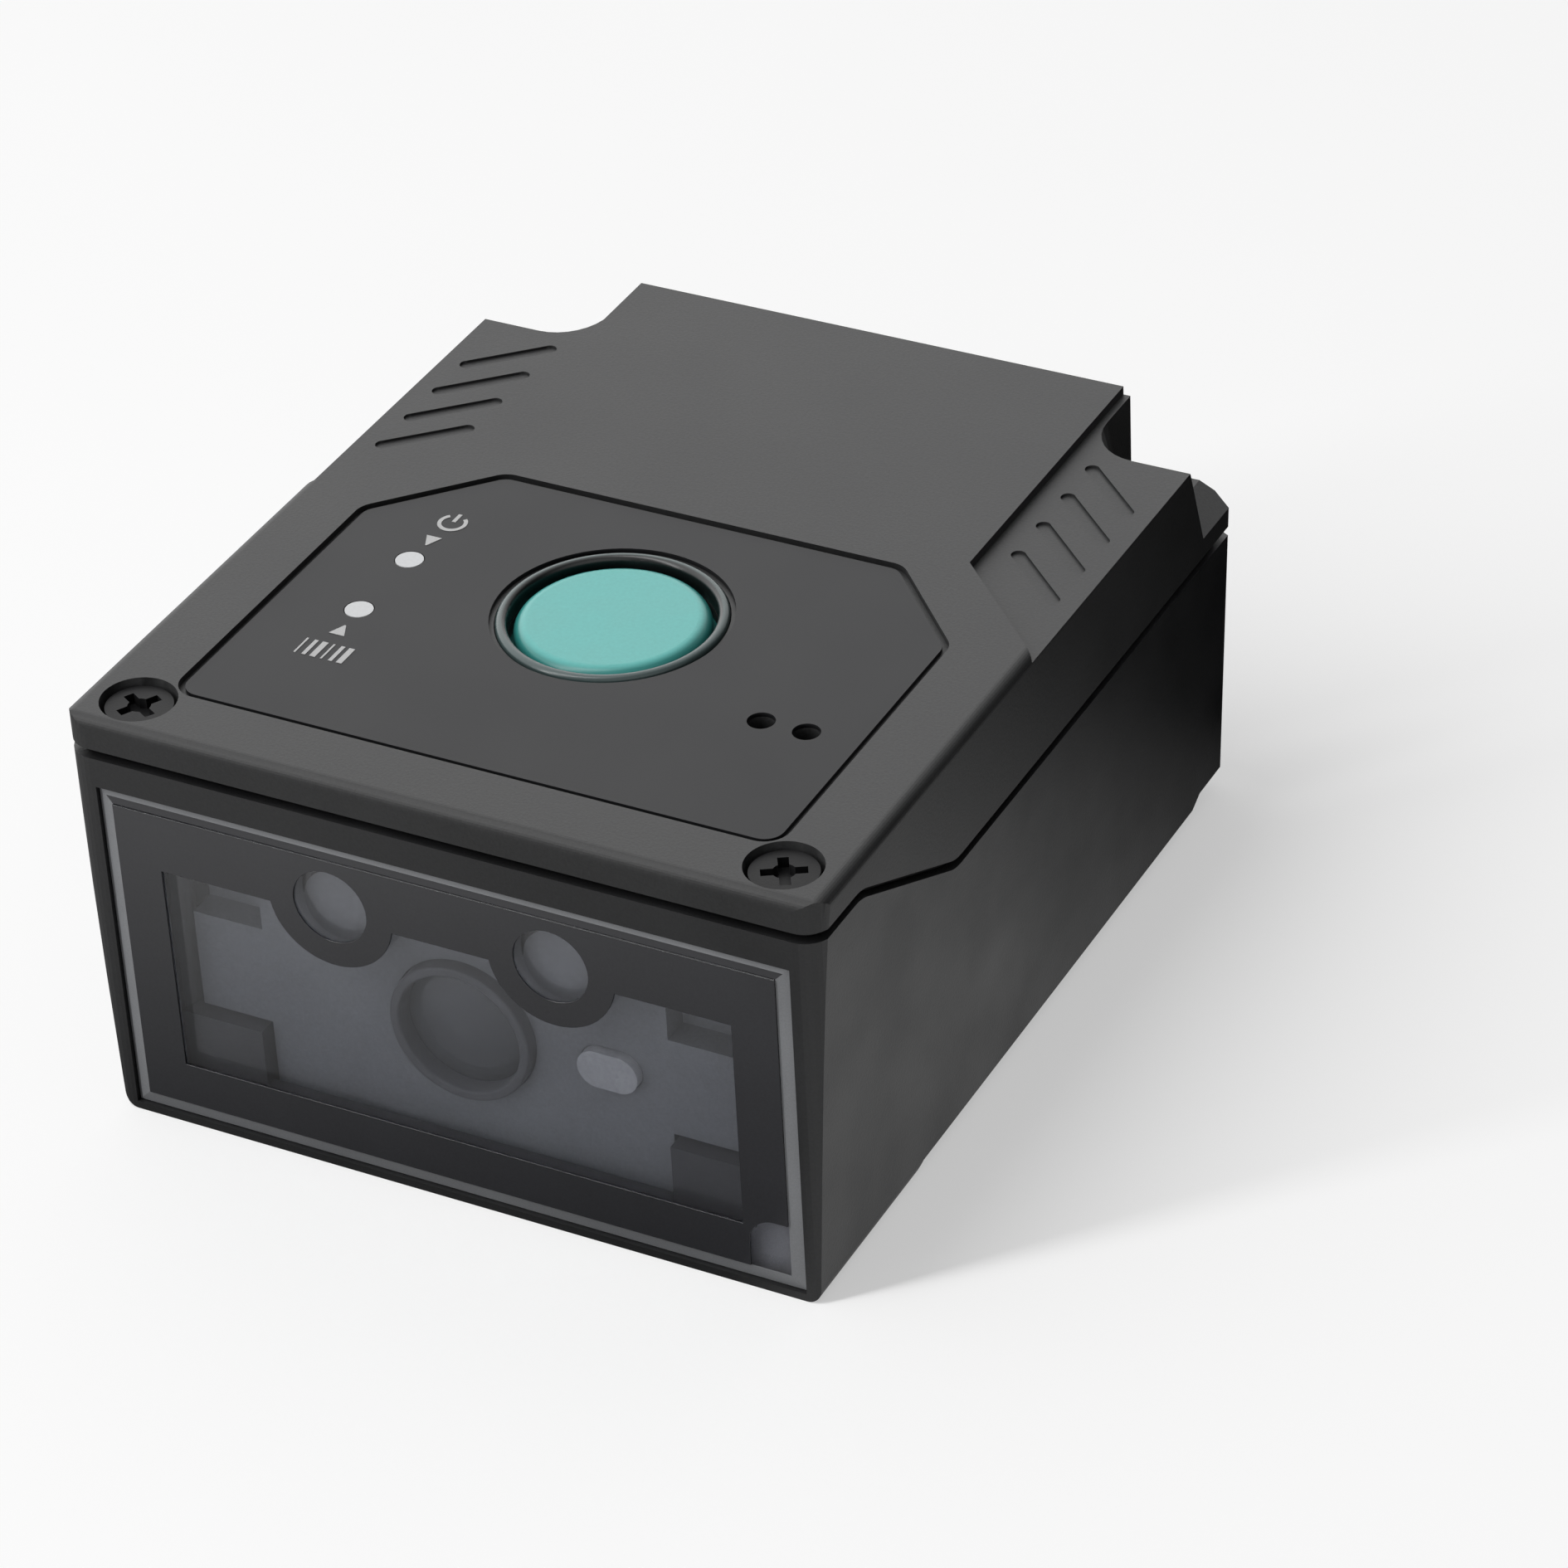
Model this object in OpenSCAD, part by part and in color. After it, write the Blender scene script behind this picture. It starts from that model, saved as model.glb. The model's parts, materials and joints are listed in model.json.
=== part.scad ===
// Compact fixed-mount barcode reader: two-part moulded case, smoked window, scan engine, trigger button.
// Millimetres. The window faces -Y, +X is to the right seen from the window, +Z is up.
// The origin is at the middle of the base.

/* [Body] */
// Width across the sides at the top
body_w = 42.5; // [40:0.5:48]
// Depth from the window to the rear face
body_d = 49.5; // [48:0.5:58]
// Height from the base to the top of the cover
body_h = 24.3; // [23.5:0.1:28]
// Wall thickness of the cover and the housing
wall = 1.8; // [1.5:0.1:2]
// How far each side leans in from the top to the base
side_draft = 1; // [0.3:0.1:1.2]
// Radius of the upright front corners
corner_r = 1.5; // [0.8:0.1:1.5]
// Radius along the top edges
edge_r = 0.6; // [0.3:0.1:0.9]
// Radius along the lower side edges
base_r = 0.8; // [0.2:0.1:0.8]
// Chamfer along the lower side edges behind the window
foot_chamfer = 0.7; // [0.6:0.1:1]
// Distance from the front at which the chamfer has its full width
foot_chamfer_start = 11.7; // [9:0.1:14]
// Length over which the chamfer fades in
foot_run = 3; // [1:0.5:5]
// Height that the rear end is raised above the base
rear_step_h = 1.3; // [0.5:0.1:1.6]
// Length of the raised rear end with its ramp
rear_step_l = 5.2; // [4:0.1:7]
// Length of the ramp up to the raised rear end
rear_step_run = 2.2; // [0.5:0.1:3]
// Length that the rear corners are cut back along the sides
rear_cut_l = 0.7; // [0.4:0.1:1]
// Width that the rear corners are cut back along the rear face
rear_cut_w = 1.3; // [0.8:0.1:2]

/* [Seam] */
// Depth of the parting line below the top at the front
seam_front_drop = 2.3; // [1.9:0.1:2.3]
// Depth of the parting line below the top at the sides and rear
seam_rear_drop = 7.5; // [6.5:0.1:8]
// Distance from the front at which the parting line starts to slope
seam_slope_start = 4.55; // [3.5:0.05:6]
// Distance from the front at which the slope ends
seam_slope_end = 15.1; // [12:0.1:18]
// Radius of the two bends in the parting line
seam_bend_r = 3; // [1:0.5:4]
// Height of the shadow gap along the parting line
reveal_h = 0.5; // [0.3:0.05:0.6]
// Depth of the shadow gap
reveal_depth = 0.6; // [0.4:0.1:0.9]

/* [Shoulders] */
// Width of each shoulder beside the raised platform and the rear block
shoulder_w = 6.6; // [5:0.1:7]
// Depth of the shoulders below the platform
shoulder_drop = 0.5; // [0.3:0.1:0.8]
// Distance from the front to the inner end of the diagonal edge
shoulder_start = 30.35; // [29.5:0.05:32]
// Distance from the shoulder's rear edge to the rear face
shoulder_back = 6.1; // [5:0.1:7]
// Radius between the shoulder's rear edge and the rear block
shoulder_fillet = 2.8; // [1:0.1:3.5]
// Lean of the shoulder's rear face, in degrees
shoulder_lean = 22; // [0:1:25]
// Depth of the ear's outer edge below the top
ear_drop = 5.9; // [4.5:0.1:6.2]
// Width of the ear's sloping outer edge
ear_w = 2.2; // [1:0.1:3]
// Slope of the ear's outer edge, in degrees
ear_slope = 26; // [15:1:35]
// Number of grip slots on each shoulder
slot_count = 4; // [2:1:4]
// Width of a grip slot
slot_w = 0.8; // [0.5:0.1:1.2]
// Distance between grip slots along the shoulder
slot_pitch = 3.05; // [2.4:0.05:3.1]
// Sideways reach of a grip slot
slot_run = 3.4; // [2:0.1:3.8]
// Depth of a grip slot
slot_depth = 0.15; // [0.1:0.05:0.4]

/* [Function label] */
// Distance from the label to the sides of the cover
label_side = 4.45; // [3.8:0.05:5]
// Length of the label
label_l = 24.25; // [23.5:0.05:25]
// Width of the label's slanted rear corners
label_corner_w = 5.3; // [3:0.1:7]
// Length of the label's slanted rear corners
label_corner_l = 5.65; // [4:0.05:8]
// Distance from the front edge of the cover to the label
label_front = 4.2; // [4.1:0.1:5]
// Corner radius of the label
label_r = 1; // [0.4:0.1:2]
// Thickness of the label film
label_t = 0.25; // [0.15:0.05:0.3]
// Depth of the label's face below the cover's face
label_sink = 0.1; // [0:0.05:0.2]
// Gap around the label in its pocket
label_gap = 0.35; // [0.1:0.05:0.5]

/* [Trigger button] */
// Diameter of the button
button_d = 10.2; // [8:0.1:10.8]
// Distance from the front to the middle of the button
button_y = 18.95; // [18:0.05:20]
// Depth of the button's face below the cover's face
button_sink = 0.25; // [0:0.05:0.4]
// Radius around the edge of the button's face
button_edge_r = 0.7; // [0.2:0.1:0.8]
// Gap between the button and its hole
button_gap = 0.3; // [0.25:0.05:0.5]
// Width of the ring around the button
bezel_w = 0.6; // [0.4:0.05:0.8]
// Depth of the ring's seat below the label's pocket
bezel_depth = 0.8; // [0.5:0.05:0.9]
// Height of the ring above the label's face
bezel_rise = 0.05; // [0:0.05:0.1]
// Gap between the ring and the label
bezel_groove = 0.3; // [0.15:0.05:0.4]
// Travel of the button
button_travel = 0.5; // [0.2:0.05:0.5]
// Width of the flange that keeps the button under the cover
flange_w = 0.9; // [0.6:0.1:1.5]
// Thickness of the flange
flange_t = 0.6; // [0.4:0.1:0.8]
// Length of the stem between the flange and the switch
stem_l = 0.25; // [0.2:0.05:0.6]

/* [Indicators] */
// Diameter of the status lights
light_d = 1.5; // [1:0.1:2]
// Distance between the status lights
light_pitch = 5.15; // [4:0.05:6]
// Distance of the status lights from the side of the label
light_in = 4.6; // [3.8:0.1:5.8]
// Distance from the front to the middle of the pair of lights
light_y = 16.9; // [16:0.1:18]
// Diameter of the sound holes
sound_d = 1.45; // [0.8:0.05:1.8]
// Distance between the sound holes
sound_pitch = 2.5; // [2:0.1:3.2]
// Distance of the pair of sound holes from the side of the label
sound_in = 4.15; // [3.8:0.05:5.3]
// Distance from the front to the sound holes
sound_y = 13.3; // [13:0.1:14.5]

/* [Window] */
// Side margin between the pane and the body
pane_margin = 1.8; // [1.6:0.05:2.2]
// Height of the pane's lower edge above the base
pane_base = 0.5; // [0.4:0.1:0.8]
// Depth of the pane's upper edge below the top
pane_drop = 4.1; // [3.8:0.1:4.6]
// Thickness of the pane
pane_t = 1; // [0.8:0.1:1.4]
// Width of the bevel around the pane's face
pane_bevel = 0.8; // [0.3:0.1:1]
// Depth of the bevel
pane_bevel_depth = 0.15; // [0.1:0.05:0.6]
// Thickness of the black mask on the pane's face
mask_t = 0.1; // [0.05:0.05:0.2]
// Thickness of the adhesive gasket behind the pane
gasket_t = 0.2; // [0.1:0.1:0.4]
// Thickness of the seat behind the gasket
seat_t = 0.7; // [0.5:0.1:1]
// Width of the mask at the sides
mask_side = 3.3; // [2.8:0.1:3.6]
// Width of the mask at the top
mask_top = 4.2; // [3.8:0.1:4.4]
// Width of the mask at the bottom
mask_bottom = 3.35; // [2.8:0.05:3.6]
// Diameter of the lamp openings in the mask
lamp_d = 4.2; // [3:0.1:4.4]
// Distance between the lamp openings
lamp_pitch = 12.5; // [11:0.1:15]
// Width of the mask around a lamp opening
lamp_ring = 1.45; // [0.8:0.05:1.6]
// Width of the cleared corner of the mask
mask_notch_w = 3; // [2:0.1:3.1]
// Height of the cleared corner of the mask
mask_notch_h = 3.9; // [2.5:0.1:4.2]

/* [Scan engine] */
// Distance of the engine frame from the sides of the body
engine_side = 5.55; // [5:0.05:6.4]
// Length of the engine frame
engine_l = 10.1; // [9:0.1:12]
// Diameter of the lens barrel
lens_d = 8; // [6:0.1:8.4]
// Wall of the lens barrel
barrel_wall = 0.6; // [0.4:0.1:1]
// Width of the aiming lens
aimer_w = 3.4; // [2.6:0.1:4]
// Height of the aiming lens
aimer_h = 2.2; // [1.4:0.1:2.4]
// Distance of the aiming lens from the middle
aimer_x = 8.3; // [7.5:0.1:9]
// Thickness of the engine board
engine_board_t = 1; // [0.6:0.1:1.2]

/* [Boards] */
// Thickness of the main board
main_board_t = 1; // [0.8:0.1:1.6]
// Height of the stand-offs under the main board
standoff_h = 2.4; // [2:0.1:3]
// Thickness of the key board
key_board_t = 0.8; // [0.6:0.1:1]
// Distance of the key board from the sides of the body
key_side = 5.65; // [5:0.05:6.2]
// Height of the switch body
switch_h = 0.9; // [0.8:0.1:1.2]
// Height of the plunger above the switch body
plunger_h = 0.6; // [0.6:0.05:0.8]
// Width of the flat cables
flex_w = 8; // [5:0.5:9]
// Thickness of the flat cables
flex_t = 0.15; // [0.1:0.05:0.3]

/* [Interface jack] */
// Width of the jack
jack_w = 15.6; // [14.5:0.1:16]
// Height of the jack
jack_h = 11; // [10.4:0.1:11.5]
// Length of the jack
jack_l = 14.5; // [13:0.1:15]
// Width of the plug opening
mouth_w = 11.9; // [11.7:0.1:12.5]
// Height of the plug opening
mouth_h = 6.9; // [6.7:0.1:7.2]
// Depth of the plug opening
mouth_l = 12; // [11:0.1:12.5]
// Width of the latch channel under the plug opening
latch_w = 6.2; // [5:0.1:6.5]
// Depth of the latch channel under the plug opening
latch_h = 1.6; // [1:0.1:1.9]
// Number of contacts in the jack
contact_count = 10; // [8:2:10]
// Distance between contacts
contact_pitch = 1.02; // [0.9:0.02:1.1]

/* [Fixings] */
// Diameter of the cover screws
screw_d = 2; // [1.6:0.1:2.2]
// Length of a cover screw under its head
screw_l = 5; // [4:0.5:8]
// Diameter of a cover screw's head
screw_head_d = 3.5; // [3:0.1:3.6]
// Height of a cover screw's head
screw_head_h = 0.9; // [0.7:0.1:1]
// Depth of the screw heads below the cover's face
screw_sink = 0.35; // [0.1:0.05:0.4]
// Distance of the cover screws from the sides
screw_side = 3.15; // [2.8:0.05:3.2]
// Distance between the threaded inserts in the base
mount_pitch = 29; // [27:0.5:29.5]
// Distance from the front to the threaded inserts
mount_y = 28.75; // [28:0.05:30]
// Bore diameter of the inserts, for an M3 screw
insert_bore = 2.5; // [2:0.1:3.2]
// Outer diameter of the inserts
insert_d = 4.4; // [4:0.1:5]
// Length of the inserts
insert_l = 4; // [3:0.1:4.2]

/* [Hidden] */
$fn = 48;
// General clearance between seated pieces
fit = 0.05;
// How far a cutter reaches past a face
over = 1;
// How much narrower a round-ended bar is than its ends
bar_inset = 0.01;
// Number of facets in a quarter turn of a rounded outline
arc_steps = 8;

half_w = body_w / 2;
front_y = -body_d / 2;
rear_y = body_d / 2;
roof_z = body_h - wall;
platform_x = half_w - shoulder_w;
block_ledge = 0.4;
shoulder_y = rear_y - shoulder_back;
shoulder_z = body_h - shoulder_drop;
ear_z = body_h - ear_drop;
seam_hi = body_h - seam_front_drop;
seam_lo = body_h - seam_rear_drop;
seam_fit = 0.05;

// Window planes, from the front inwards
pane_y = front_y + mask_t;
gasket_y = pane_y + pane_t;
seat_y = gasket_y + gasket_t;
cavity_y = seat_y + seat_t;
pane_x = half_w - pane_margin;
pane_top = body_h - pane_drop;
pane_fit = 0.05;
view_x = pane_x - mask_side;
view_top = pane_top - mask_top;
view_base = pane_base + mask_bottom;
view_z = (view_top + view_base) / 2;
lamp_x = lamp_pitch / 2;
lamp_rise = 0.6;
lamp_z = view_top + lamp_rise;
lamp_lens_drop = 0.5;
lamp_lens_z = lamp_z - lamp_lens_drop;
seat_side_margin = 0.4;
seat_base_margin = 0.65;
seat_top_margin = 0.6;
seat_x = view_x + seat_side_margin;
seat_base = view_base - seat_base_margin;
seat_top = lamp_lens_z + lamp_d / 2 + lamp_ring - seat_top_margin;

// Cover screws stand just behind the window's pocket
screw_wall = 0.25;
screw_hole_r = screw_d / 2 + fit;
screw_x = half_w - screw_side;
screw_y = seat_y + screw_wall + screw_hole_r;
screw_boss_r = 1.85;
screw_gap = 0.15;
screw_tip_room = 0.5;
head_gap = 0.25;
counterbore_r = screw_head_d / 2 + head_gap;
counterbore_z = body_h - screw_sink - screw_head_h;
cross_w = 0.55;
cross_l = 2.3;
cross_depth = 0.6;
cross_turn = 30;
cross_core_r = 0.6;

// Label and button
label_y = front_y + label_front;
label_floor = body_h - label_sink - label_t;
label_x = half_w - label_side;
label_rear = label_y + label_l;
label_lean = atan2(label_corner_w, label_corner_l);
button_c = front_y + button_y;
button_r = button_d / 2;
button_hole_r = button_r + button_gap;
flange_r = button_hole_r + flange_w;
flange_top = roof_z - fit;
plunger_top = flange_top - flange_t - stem_l;
plunger_r = 1.25;
plunger_gap = 0.25;
stem_r = 1.6;
bezel_r = button_hole_r + bezel_w;
bezel_base = label_floor - bezel_depth;
bezel_top = label_floor + label_t + bezel_rise;
label_hole_r = bezel_r + bezel_groove;

// Key board hangs under the cover at the height of the switch
switch_w = 5.2;
key_top = plunger_top - plunger_h - switch_h;
key_base = key_top - key_board_t;
switch_floor = 0.1;
plunger_base = key_top + switch_floor + fit + button_travel;
key_front_in = 6;
key_rear_reach = 8.4;
key_front = front_y + key_front_in;
key_rear = button_c + key_rear_reach;
key_x = half_w - key_side;
key_post_r = 1.7;
key_post_side = 2.2;
key_post_end = 1.9;
key_post_rear_in = 6;
key_posts = [
  [key_x - key_post_side, key_front + key_post_end],
  [key_x - key_post_rear_in, key_rear - key_post_end]
];
small_screw_r = 0.7;
small_head_r = 1.3;
small_head_h = 0.7;
small_screw_l = 2.4;
small_recess_w = 0.4;
small_recess_l = 1.6;
small_tip_room = 0.4;
board_hole_r = small_screw_r + 0.1;
head_room = 0.3;
light_x = label_x - light_in;
light_c = front_y + light_y;
status_led_w = 1.6;
status_led_h = 0.6;
pipe_gap = 0.2;
pipe_flange_r = 1.4;
pipe_flange_t = 0.5;
sound_x = label_x - sound_in;
sound_c = front_y + sound_y;
buzzer_w = 6.4;
buzzer_h = 1.9;

// Scan engine
engine_front_gap = 0.15;
engine_floor_gap = 0.6;
engine_roof_gap = 0.4;
engine_x = half_w - engine_side;
engine_y = cavity_y + engine_front_gap;
engine_rear = engine_y + engine_l;
engine_base = wall + engine_floor_gap;
engine_top = key_base - engine_roof_gap;
engine_step_l = 1.6;
engine_step_drop = 3.4;
engine_step_z = view_top - engine_step_drop;
lens_gap = 0.1;
lens_r = lens_d / 2;
lens_y = seat_y + lens_gap;
lens_z = view_z;
barrel_back = 2.4;
barrel_l = engine_l - barrel_back;
glass_r = lens_r - barrel_wall;
glass_seat = 1.6;
glass_sink = 0.3;
glass_rim = 1;
crown_r = 9;
sensor_w = 6;
sensor_t = 1.2;
sensor_room = 8;
lamp_flange_w = 0.5;
lamp_lip = 0.15;
lamp_lens_r = lamp_d / 2 - fit;
lamp_flange_r = lamp_lens_r + lamp_flange_w;
lamp_flange_t = 0.5;
lamp_pocket = 1.2;
lamp_tunnel_r = lamp_lens_r - lamp_lip;
lamp_led_w = 2.4;
lamp_led_h = 0.9;
aimer_pocket = 1.2;
aimer_front = 0.5;
aimer_tunnel_r = 0.9;
aimer_led_w = 1.1;
aimer_led_h = 0.8;
lug_w = 3.9;
lug_h = 4.4;
lug_l = 3.5;
lug_t = 1.8;
lug_fit = 0.2;
lug_x = engine_x - lug_w;
lug_top = engine_base + lug_h;
lug_y = engine_y + lug_l;
lug_screw_z = (engine_base + lug_top) / 2;
lug_screw_x = (lug_x + engine_x) / 2;
engine_board_rear = engine_rear + engine_board_t;
engine_board_lift = 0.4;
engine_screw_l = 4;
lug_tip = lug_y + lug_t - engine_screw_l;
board_screw_in = 2.5;
board_screw_x = engine_x - board_screw_in;
board_screw_z = engine_top - board_screw_in;
board_screw_tip = engine_board_rear - small_screw_l - small_tip_room;

// Main board
board_base = wall + standoff_h;
board_top = board_base + main_board_t;
board_side_gap = 0.85;
board_front_gap = 5;
board_rear_gap = 1.1;
board_x = half_w - side_draft - wall - board_side_gap;
board_front = engine_board_rear + board_front_gap;
board_rear = rear_y - wall - board_rear_gap;
standoff_r = 2;
standoff_in = 2.4;
standoff_x = board_x - standoff_in;
standoffs = [board_front + standoff_in, board_rear - standoff_in];
mount_x = mount_pitch / 2;
mount_c = front_y + mount_y;
insert_r = insert_d / 2;
insert_wall = 1.2;
insert_roof = 1.4;
insert_tip_room = 0.6;
insert_boss_gap = 0.4;
insert_boss_r = insert_r + insert_wall;
insert_boss_h = insert_l + insert_roof;
chip_t = 1.1;
chip_gap = 0.8;
chip_front = mount_c + insert_boss_r + chip_gap;
chip_rear = standoffs[1] - small_head_r - chip_gap;
decoder_most = 7.4;
memory_less = 1.4;
decoder_w = min(decoder_most, chip_rear - chip_front, board_x - jack_w / 2 - 2 * chip_gap);
memory_w = decoder_w - memory_less;
chip_x = (jack_w / 2 + board_x) / 2;
chip_y = (chip_front + chip_rear) / 2;

// Interface jack
jack_face = rear_y - wall - fit;
jack_y = jack_face - jack_l;
mouth_floor = 2.6;
mouth_roof = 0.8;
mouth_base = min(board_top + mouth_floor, seam_lo - mouth_roof - mouth_h);
latch_floor = 0.5;
latch_drop = min(latch_h, mouth_base - board_top - latch_floor);
contact_w = 0.45;
contact_drop = 1.3;
contact_fit = 0.02;
contact_l = 8;
contact_tip = 1.2;
opening_fit = 0.15;

// Flat cables and their sockets
socket_end = 0.8;
socket_w = flex_w / 2 + socket_end;
socket_l = 2.2;
socket_h = 1;
socket_mid = socket_h / 2;
flex_bend_r = 0.7;
key_flex_in = 0.4;
key_flex_out = 2;
key_flex_gap = 0.5;
key_flex_y = min(key_rear - key_flex_in, jack_y - key_flex_out - key_flex_gap);
engine_socket_rise = 2.1;
engine_socket_z = board_top + engine_socket_rise;
main_socket_in = 0.7;
main_socket_y = board_front + main_socket_in;
engine_flex_out = 0.9;
engine_flex_rise = 1.1;

// Hooks that hold the cover at the rear
hook_w = 4.4;
hook_in = 1;
hook_x = jack_w / 2 + hook_in + hook_w / 2;
hook_t = 1.2;
hook_fit = 0.15;
hook_down = 2.6;
hook_nose = 0.6;
hook_nose_h = 1;
hook_up = 3;
hook_root = 0.3;
hook_room = 0.2;

// Grip slots
slot_side = 1.55;
slot_end = 4.75;
slot_lean = 0.94;

case_grey = [0.23, 0.23, 0.24];
housing_grey = [0.17, 0.17, 0.18];
black = [0.06, 0.06, 0.07];
teal = [0.42, 0.78, 0.74];
bezel_grey = [0.5, 0.55, 0.55];
board_green = [0.05, 0.3, 0.18];
steel = [0.7, 0.7, 0.72];
gold = [0.85, 0.68, 0.3];
lamp_clear = [0.85, 0.87, 0.9];
led_cream = [0.92, 0.9, 0.8];
film_amber = [0.75, 0.5, 0.2];
engine_grey = [0.45, 0.46, 0.48];
socket_ivory = [0.85, 0.83, 0.78];
smoked = [0.25, 0.25, 0.28, 0.5];

// Half width of the leaning side at a height
function half_at(z) = half_w - side_draft * (body_h - z) / body_h;

// Arc that rounds the corner at b between its neighbours a and c
function corner_arc(a, b, c, r) =
  r == 0 ? [b] :
  let (u = (a - b) / norm(a - b), v = (c - b) / norm(c - b), half = acos(u * v) / 2)
  let (centre = b + (u + v) / norm(u + v) * r / sin(half))
  let (p = b + u * r / tan(half) - centre, q = b + v * r / tan(half) - centre)
  let (start = atan2(p[1], p[0]), turn = (atan2(q[1], q[0]) - start + 540) % 360 - 180)
  [for (i = [0:arc_steps]) let (t = start + turn * i / arc_steps) centre + r * [cos(t), sin(t)]];

// Closed outline with a radius at each corner
function round_outline(points, radii) =
  let (n = len(points))
  [for (i = [0:n - 1]) each corner_arc(points[(i + n - 1) % n], points[i], points[(i + 1) % n], radii[i])];

// Parting line seen from the side, from front to rear, raised by lift
function seam_line(lift) =
  let (a = [front_y - over, seam_hi + lift], b = [front_y + seam_slope_start, seam_hi + lift])
  let (c = [front_y + seam_slope_end, seam_lo + lift], d = [rear_y + over, seam_lo + lift])
  [a, each corner_arc(a, b, c, seam_bend_r), each corner_arc(b, c, d, seam_bend_r), d];

// Outline in the XZ plane extruded from y0 to y1
module slab_y(y0, y1) {
  translate([0, y1, 0]) rotate([90, 0, 0]) linear_extrude(y1 - y0) children();
}

// Outline in the YZ plane extruded from x0 to x1
module slab_x(x0, x1) {
  translate([x0, 0, 0]) rotate([90, 0, 90]) linear_extrude(x1 - x0) children();
}

// Outline in the XY plane extruded from z0 to z1
module slab_z(z0, z1) {
  translate([0, 0, z0]) linear_extrude(z1 - z0) children();
}

// Box between two corners
module box(low, high) {
  translate(low) cube(high - low);
}

// Upright pin from z0 to z1
module post(x, y, r, z0, z1) {
  translate([x, y, z0]) cylinder(r = r, h = z1 - z0);
}

// Pin along Y from y0 to y1
module pin_y(x, z, r, y0, y1) {
  translate([x, y1, z]) rotate([90, 0, 0]) cylinder(r = r, h = y1 - y0);
}

// The children on both sides
module both() {
  children();
  mirror([1, 0, 0]) children();
}

// Bar with round ends between two points
module obround(a, b, w) {
  d = b - a;
  translate(a) circle(d = w);
  translate(b) circle(d = w);
  bar = w - 2 * bar_inset;
  translate(a) rotate(atan2(d[1], d[0])) translate([0, -bar / 2]) square([norm(d), bar]);
}

// Front view of the body, set in by inset, with rounded lower and top edges
module front_section(inset, low_r, top_r) {
  low = half_at(0) - inset;
  high = half_w - inset;
  points = [[-low, 0], [low, 0], [high, body_h], [-high, body_h]];
  polygon(round_outline(points, [low_r, low_r, top_r, top_r]));
}

// Plan of the body, set in by inset
module plan(inset) {
  x = half_w - inset;
  y0 = front_y + inset;
  y1 = rear_y - inset;
  r = max(corner_r - inset, 0);
  yc = y1 - rear_cut_l;
  xc = x - rear_cut_w;
  polygon(round_outline([[-x, y0], [x, y0], [x, yc], [xc, y1], [-xc, y1], [-x, yc]], [r, r, 0, 0, 0, 0]));
}

// Side view of the body with its rounded front edge and raised rear end
module side_section() {
  step_y = rear_y - rear_step_l;
  points = [
    [front_y, 0], [step_y, 0], [step_y + rear_step_run, rear_step_h], [rear_y, rear_step_h],
    [rear_y, body_h], [front_y, body_h]
  ];
  polygon(round_outline(points, [0, 0, 0, 0, 0, edge_r]));
}

// Whole outer body before it is parted
module body_form() {
  difference() {
    intersection() {
      slab_y(front_y, rear_y) front_section(0, base_r, edge_r);
      slab_z(0, body_h) plan(0);
      slab_x(-half_w, half_w) side_section();
    }
    both() foot_cut();
  }
}

// Chamfer along a lower side edge, fading in towards the front
module foot_cut() {
  y0 = front_y + foot_chamfer_start;
  y1 = rear_y + over;
  translate([half_at(0) - foot_chamfer, 0, 0]) rotate([0, -45, 0]) slab_x(-over, wall + over)
    polygon([[y0 - foot_run, -foot_chamfer], [y0, 0], [y1, 0], [y1, -wall], [y0 - foot_run, -wall]]);
}

// Corner taken out above the ear beside the rear block, grown by grow
module rear_notch(grow) {
  x = platform_x + block_ledge - grow;
  x1 = half_w + over;
  flat_x = half_w - ear_w;
  flat_z = ear_z - grow + ear_w * tan(ear_slope);
  edge_z = flat_z - (ear_w + over) * tan(ear_slope);
  intersection() {
    translate([0, shoulder_y, shoulder_z]) rotate([shoulder_lean, 0, 0])
      slab_z(-body_h, body_h)
        polygon(round_outline([[x, -grow], [x1, -grow], [x1, body_h], [x, body_h]],
          [shoulder_fillet + grow, 0, 0, 0]));
    slab_y(0, rear_y + over)
      polygon([[x1, edge_z], [flat_x, flat_z], [x, flat_z], [x, body_h + over], [x1, body_h + over]]);
  }
}

// Space inside the closed case
module cavity() {
  step_y = rear_y - rear_step_l - wall / 2;
  rear_floor = wall + rear_step_h;
  difference() {
    intersection() {
      slab_y(cavity_y, rear_y - wall) front_section(wall, 0, 0);
      slab_x(-half_w, half_w)
        polygon([[cavity_y, wall], [step_y, wall], [step_y, rear_floor], [rear_y, rear_floor],
          [rear_y, roof_z], [cavity_y, roof_z]]);
    }
    both() rear_notch(wall);
  }
}

// Everything above the parting line
module above_seam() {
  slab_x(-half_w - over, half_w + over)
    polygon([each seam_line(0), [rear_y + over, body_h + over], [front_y - over, body_h + over]]);
}

// Everything below the parting line
module below_seam() {
  slab_x(-half_w - over, half_w + over)
    polygon([each seam_line(-seam_fit), [rear_y + over, -over], [front_y - over, -over]]);
}

// Shadow gap cut into the outer skin just above the parting line
module reveal_cut() {
  lower = seam_line(-over);
  upper = seam_line(reveal_h);
  n = len(upper);
  difference() {
    slab_x(-half_w - over, half_w + over) polygon([each lower, for (i = [1:n]) upper[n - i]]);
    intersection() {
      slab_y(front_y, rear_y) front_section(reveal_depth, 0, 0);
      slab_z(0, body_h) plan(reveal_depth);
    }
  }
}

// Shoulder recess with its diagonal front edge, on the right
module shoulder_cut() {
  y = front_y + shoulder_start;
  y1 = rear_y + over;
  x1 = half_w + over;
  slab_z(shoulder_z, body_h + over)
    polygon([[platform_x, y], [x1, y - x1 + platform_x], [x1, y1], [platform_x, y1]]);
}

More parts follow.
